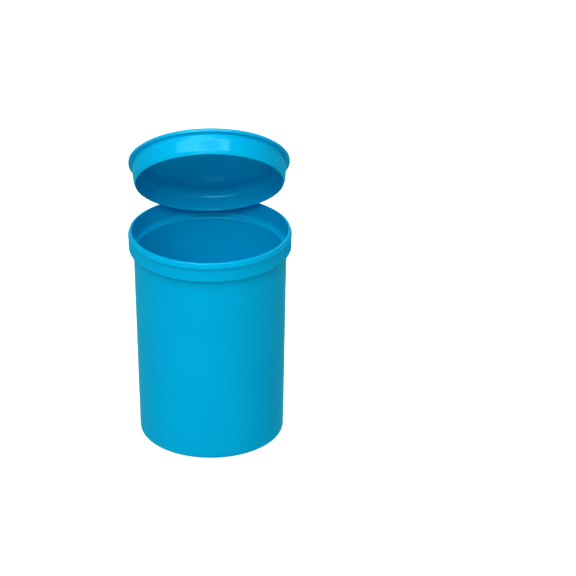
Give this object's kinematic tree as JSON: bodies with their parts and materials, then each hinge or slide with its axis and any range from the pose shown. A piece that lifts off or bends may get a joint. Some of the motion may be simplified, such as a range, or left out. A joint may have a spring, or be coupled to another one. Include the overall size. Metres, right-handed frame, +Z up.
{
  "type": "prescription vial",
  "caption": "Round pop-top prescription vial: a tapered cup with a ribbed squeeze collar and a captive plug lid on a moulded strap hinge, resting part open.",
  "frame": {"origin": "centre of the flat base, on the surface that the vial stands on", "axes": "+Z up along the axis of the cup; +Y towards the hinge at the back, so the lid opens at the front (-Y); the two ribbed sides that are squeezed face +X and -X"},
  "size_m": [0.0648, 0.0662, 0.1354],
  "materials": {
    "cup_plastic": "satin",
    "lid_plastic": "satin",
    "hinge_plastic": "satin"
  },
  "bodies": {
    "vial": {"vial_body": "cup_plastic", "collar": "cup_plastic", "rim_bead": "cup_plastic", "hinge_base": "cup_plastic", "hinge_film": "hinge_plastic", "grip_rib_right_1": "cup_plastic", "grip_rib_right_2": "cup_plastic", "grip_rib_right_3": "cup_plastic", "grip_rib_right_4": "cup_plastic", "grip_rib_right_5": "cup_plastic", "grip_rib_right_6": "cup_plastic", "grip_rib_right_7": "cup_plastic", "grip_rib_right_8": "cup_plastic", "grip_rib_right_9": "cup_plastic", "grip_rib_left_1": "cup_plastic", "grip_rib_left_2": "cup_plastic", "grip_rib_left_3": "cup_plastic", "grip_rib_left_4": "cup_plastic", "grip_rib_left_5": "cup_plastic", "grip_rib_left_6": "cup_plastic", "grip_rib_left_7": "cup_plastic", "grip_rib_left_8": "cup_plastic", "grip_rib_left_9": "cup_plastic"},
    "lid": {"lid_panel": "lid_plastic", "lid_border": "lid_plastic", "plug_skirt": "lid_plastic", "hinge_leaf": "lid_plastic", "squeeze_arrow": "lid_plastic", "arc_mark_1": "lid_plastic", "arc_mark_2": "lid_plastic", "arc_mark_3": "lid_plastic", "arc_mark_4": "lid_plastic", "arc_mark_5": "lid_plastic", "arc_mark_6": "lid_plastic", "arc_mark_7": "lid_plastic", "back_mark_1": "lid_plastic", "back_mark_2": "lid_plastic", "back_mark_3": "lid_plastic", "back_mark_4": "lid_plastic", "back_mark_5": "lid_plastic", "middle_mark_1": "lid_plastic", "middle_mark_2": "lid_plastic", "middle_mark_3": "lid_plastic", "middle_mark_4": "lid_plastic", "middle_mark_5": "lid_plastic", "front_mark_1": "lid_plastic", "front_mark_2": "lid_plastic", "front_mark_3": "lid_plastic"}
  },
  "joints": [
    {"name": "lid_hinge", "type": "hinge", "parent": "vial", "child": "lid", "pos_m": [0, 0.0325, 0.088], "axis": [-1, 0, 0], "range_deg": [-46.5, 133.5], "stiffness_Nm_per_rad": 0.03, "springref_deg": 2.29, "deforming": ["hinge_film"]}
  ]
}
